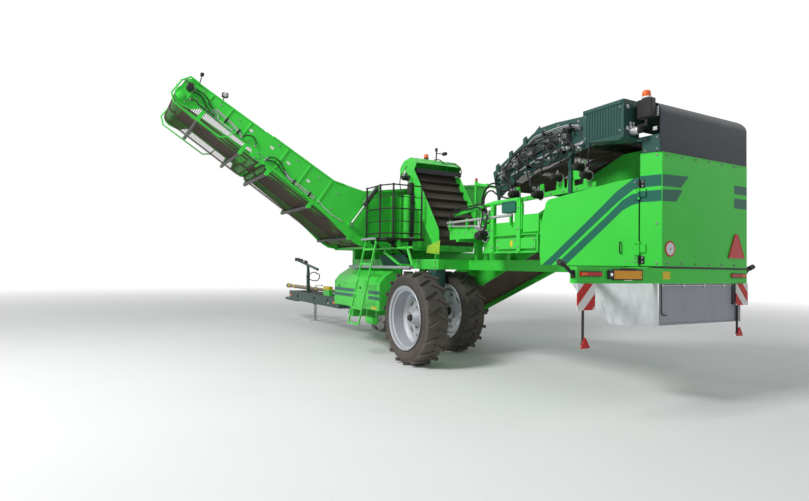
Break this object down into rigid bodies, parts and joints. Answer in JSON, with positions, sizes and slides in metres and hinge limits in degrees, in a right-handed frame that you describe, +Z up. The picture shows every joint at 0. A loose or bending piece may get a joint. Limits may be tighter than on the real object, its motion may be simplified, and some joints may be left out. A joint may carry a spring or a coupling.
{
  "type": "trailed potato harvester",
  "caption": "Towed root-crop harvester with digging unit, sorting rod webs, picking table, elevator, cross bunker and folding unloading conveyor on a steered drawbar.",
  "frame": {"origin": "centre of the drawbar eye", "axes": "+Z up, +Y forward in the driving direction, +X to the right"},
  "size_m": [7.2269, 13.2838, 4.9706],
  "materials": {
    "leaf_green": "gloss",
    "dark_green": "satin",
    "dark_paint": "satin",
    "steel": "satin",
    "web_steel": "earth-worn",
    "rod_chrome": "polished",
    "tyre_rubber": "matt",
    "belt_rubber": "matt",
    "tarpaulin": "matt",
    "white_plate": "gloss",
    "red_reflector": "gloss",
    "orange_lamp": "gloss"
  },
  "bodies": {
    "chassis": {"main_frame": "leaf_green", "axle_legs": "dark_green", "oil_tank": "dark_paint", "rear_bumper": "leaf_green", "warning_boards": "white_plate", "rear_lamps": "red_reflector", "marker_arms": "dark_paint", "rear_panel": "leaf_green", "top_cover": "dark_paint", "rear_curtain": "tarpaulin", "side_curtain": "tarpaulin", "control_box": "dark_green", "beacons": "orange_lamp", "web_frame": "leaf_green", "main_web": "web_steel", "upper_arm": "dark_green", "upper_web": "web_steel", "valve_rack": "steel", "cleaning_rollers": "steel", "picking_frame": "leaf_green", "picking_belt": "belt_rubber", "elevator_frame": "leaf_green", "elevator_belt": "belt_rubber", "elevator_hood": "leaf_green", "bunker": "leaf_green", "bunker_web": "web_steel", "platform": "dark_paint", "railing": "dark_paint", "left_cover": "leaf_green"},
    "left_wheel": {"left_tyre": "tyre_rubber", "left_rim": "steel"},
    "right_wheel": {"right_tyre": "tyre_rubber", "right_rim": "steel"},
    "drawbar": {"drawbar": "dark_green", "pto_shaft": "dark_paint", "hose_arm": "dark_green"},
    "jack": {"jack_leg": "steel"},
    "steer_barrel": {"steer_barrel": "dark_paint"},
    "steer_rod": {"steer_rod": "rod_chrome"},
    "digger": {"digger_frame": "leaf_green", "digging_web": "web_steel", "shares": "steel"},
    "left_ridge_roller": {"left_ridge_roller": "dark_paint"},
    "right_ridge_roller": {"right_ridge_roller": "dark_paint"},
    "left_disc": {"left_disc": "steel"},
    "right_disc": {"right_disc": "steel"},
    "digger_barrel": {"digger_barrel": "dark_paint"},
    "digger_rod": {"digger_rod": "rod_chrome"},
    "conveyor": {"conveyor": "leaf_green", "conveyor_web": "web_steel"},
    "conveyor_head": {"conveyor_head": "leaf_green", "head_web": "web_steel"},
    "lift_barrel": {"lift_barrel": "dark_paint"},
    "lift_rod": {"lift_rod": "rod_chrome"},
    "side_door": {"side_door": "leaf_green"},
    "ladder": {"ladder": "leaf_green"}
  },
  "joints": [
    {"name": "left_wheel_spin", "type": "hinge", "parent": "chassis", "child": "left_wheel", "pos_m": [-0.575, -9.29, 0.21], "axis": [1, 0, 0], "continuous": true},
    {"name": "right_wheel_spin", "type": "hinge", "parent": "chassis", "child": "right_wheel", "pos_m": [0.975, -8.25, 0.21], "axis": [1, 0, 0], "continuous": true},
    {"name": "drawbar_steer", "type": "hinge", "parent": "chassis", "child": "drawbar", "pos_m": [0, -5.34, 0.18], "axis": [0, 0, 1], "range_deg": [-18, 18]},
    {"name": "jack_slide", "type": "slide", "parent": "drawbar", "child": "jack", "axis": [0, 0, 1], "range_m": [0, 0.45]},
    {"name": "steer_barrel_pivot", "type": "hinge", "parent": "chassis", "child": "steer_barrel", "pos_m": [0.59, -5.7, 0.18], "axis": [0, 0, 1], "range_deg": [-12, 12]},
    {"name": "steer_rod_slide", "type": "slide", "parent": "steer_barrel", "child": "steer_rod", "axis": [-0.1618, 0.9868, 0], "range_m": [-0.165, 0.165]},
    {"name": "digger_lift", "type": "hinge", "parent": "chassis", "child": "digger", "pos_m": [1.84, -6.78, 0.5], "axis": [1, 0, 0], "range_deg": [0, 12]},
    {"name": "left_ridge_roller_spin", "type": "hinge", "parent": "digger", "child": "left_ridge_roller", "pos_m": [1.465, -4.14, -0.4], "axis": [1, 0, 0], "continuous": true},
    {"name": "right_ridge_roller_spin", "type": "hinge", "parent": "digger", "child": "right_ridge_roller", "pos_m": [2.215, -4.14, -0.4], "axis": [1, 0, 0], "continuous": true},
    {"name": "left_disc_spin", "type": "hinge", "parent": "digger", "child": "left_disc", "pos_m": [1.007, -4.8, -0.27], "axis": [1, 0, 0], "continuous": true},
    {"name": "right_disc_spin", "type": "hinge", "parent": "digger", "child": "right_disc", "pos_m": [2.673, -4.8, -0.27], "axis": [1, 0, 0], "continuous": true},
    {"name": "digger_barrel_pivot", "type": "hinge", "parent": "chassis", "child": "digger_barrel", "pos_m": [1.84, -5.68, 1.04], "axis": [1, 0, 0], "range_deg": [0, 16.3]},
    {"name": "digger_rod_slide", "type": "slide", "parent": "digger_barrel", "child": "digger_rod", "axis": [0, 0.5268, -0.85], "range_m": [-0.252, 0]},
    {"name": "conveyor_lift", "type": "hinge", "parent": "chassis", "child": "conveyor", "pos_m": [-0.76, -6.55, 1.63], "axis": [0, 1, 0], "range_deg": [-20, 20]},
    {"name": "conveyor_fold", "type": "hinge", "parent": "conveyor", "child": "conveyor_head", "pos_m": [-2.9155, -6.55, 3.0839], "axis": [0, 1, 0], "range_deg": [-40, 0]},
    {"name": "lift_barrel_pivot", "type": "hinge", "parent": "chassis", "child": "lift_barrel", "pos_m": [-0.47, -7.5, 2.7], "axis": [0, 1, 0], "range_deg": [-2, 2]},
    {"name": "lift_rod_slide", "type": "slide", "parent": "lift_barrel", "child": "lift_rod", "axis": [-0.6017, 0, -0.7988], "range_m": [-0.142, 0.142]},
    {"name": "side_door_hinge", "type": "hinge", "parent": "chassis", "child": "side_door", "pos_m": [0.55322, -12.95518, 1.745], "axis": [0, 0, 1], "range_deg": [0, 95]},
    {"name": "ladder_hinge", "type": "hinge", "parent": "chassis", "child": "ladder", "pos_m": [-0.83, -8.005, 1.59], "axis": [0, 1, 0], "range_deg": [-12, 0]}
  ],
  "couplings": [
    {"joint": "steer_barrel_pivot", "follows": "drawbar_steer", "ratio": 0.64},
    {"joint": "steer_rod_slide", "follows": "drawbar_steer", "m_per_rad": 0.52},
    {"joint": "digger_barrel_pivot", "follows": "digger_lift", "ratio": 1.35},
    {"joint": "digger_rod_slide", "follows": "digger_lift", "m_per_rad": -1.2},
    {"joint": "lift_barrel_pivot", "follows": "conveyor_lift", "ratio": 0.08},
    {"joint": "lift_rod_slide", "follows": "conveyor_lift", "m_per_rad": -0.402}
  ]
}
